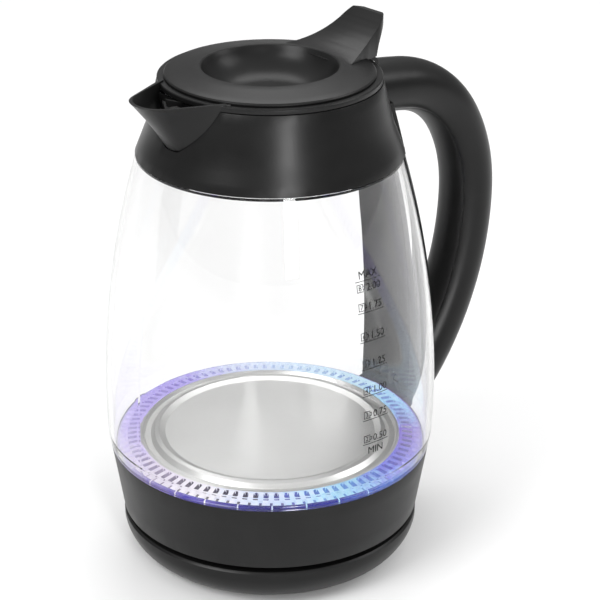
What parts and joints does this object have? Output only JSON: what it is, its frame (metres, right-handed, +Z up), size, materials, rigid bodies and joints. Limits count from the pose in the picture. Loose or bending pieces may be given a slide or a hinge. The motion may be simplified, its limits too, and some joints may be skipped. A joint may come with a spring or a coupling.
{
  "type": "electric kettle",
  "caption": "Cordless electric kettle with a clear glass jug on a power base, an arched handle, a hinged lid with a thumb fin, a lit ring round the heating plate and a tilting switch.",
  "frame": {"origin": "on the jug's axis, at the underside of the power base's foot ring, where it meets the table", "axes": "+Z up along the axis of the jug, +X from the axis to the handle, so the spout points along -X"},
  "size_m": [0.2296, 0.164, 0.2681],
  "materials": {
    "black_plastic": "gloss",
    "dark_plastic": "satin",
    "white_plastic": "satin",
    "clear_plastic": "clear, ribbed, lit from below",
    "jug_glass": "clear",
    "plate_steel": "satin",
    "screw_steel": "satin",
    "spreader_aluminium": "satin",
    "contact_brass": "satin",
    "soft_rubber": "matt"
  },
  "bodies": {
    "power_base": {"foot_ring": "soft_rubber", "base_top_cover": "black_plastic", "base_bottom_cover": "black_plastic", "base_screws": "screw_steel", "base_connector": "black_plastic", "base_contact_rings": "contact_brass", "cord_gland": "black_plastic", "base_cord_clamp": "black_plastic", "base_leads": "soft_rubber"},
    "guide_ring": {"guide_ring": "black_plastic"},
    "jug": {"jug_bottom_cover": "black_plastic", "jug_bottom_screws": "screw_steel", "jug_connector": "black_plastic", "jug_connector_pins": "contact_brass", "controller_body": "white_plastic", "bimetal_discs": "contact_brass", "band_housing": "dark_plastic", "handle_screws": "screw_steel", "heating_plate": "plate_steel", "heat_spreader": "spreader_aluminium", "heating_element": "screw_steel", "support_ring": "dark_plastic", "plate_gasket": "soft_rubber", "glass_seal": "soft_rubber", "led_board": "white_plastic", "leds": "white_plastic", "light_ring": "clear_plastic", "glass_body": "jug_glass", "collar_shell": "black_plastic", "neck_and_spout": "black_plastic", "hinge_pin": "screw_steel", "collar_gasket": "soft_rubber", "spout_filter_frame": "black_plastic", "filter_mesh": "plate_steel", "handle_shell": "black_plastic", "handle_inner_cover": "dark_plastic", "handle_strap": "screw_steel", "handle_spine": "dark_plastic", "steam_tube": "soft_rubber", "switch_frame": "white_plastic", "switch_pins": "screw_steel", "steam_bimetal": "contact_brass"},
    "lid": {"lid_cover": "black_plastic", "lid_under_plate": "dark_plastic", "lid_seal": "soft_rubber", "lid_screws": "screw_steel"},
    "switch_lever": {"switch_paddle": "black_plastic"},
    "trip_lever": {"trip_lever": "white_plastic"}
  },
  "joints": [
    {"name": "jug_turn", "type": "hinge", "parent": "power_base", "child": "guide_ring", "pos_m": [0, 0, 0.0266], "axis": [0, 0, 1], "continuous": true},
    {"name": "jug_lift", "type": "slide", "parent": "guide_ring", "child": "jug", "axis": [0, 0, 1], "range_m": [0, 0.08]},
    {"name": "lid_hinge", "type": "hinge", "parent": "jug", "child": "lid", "pos_m": [0.054, 0, 0.2456], "axis": [0, 1, 0], "range_deg": [0, 62]},
    {"name": "switch_pivot", "type": "hinge", "parent": "jug", "child": "switch_lever", "pos_m": [0.069, 0, 0.031], "axis": [0, 1, 0], "range_deg": [0, 10]},
    {"name": "trip_pivot", "type": "hinge", "parent": "jug", "child": "trip_lever", "pos_m": [0.05, 0, 0.037], "axis": [0, 1, 0], "range_deg": [-5, 0]}
  ],
  "couplings": [
    {"joint": "trip_pivot", "follows": "switch_pivot", "ratio": -0.5}
  ]
}
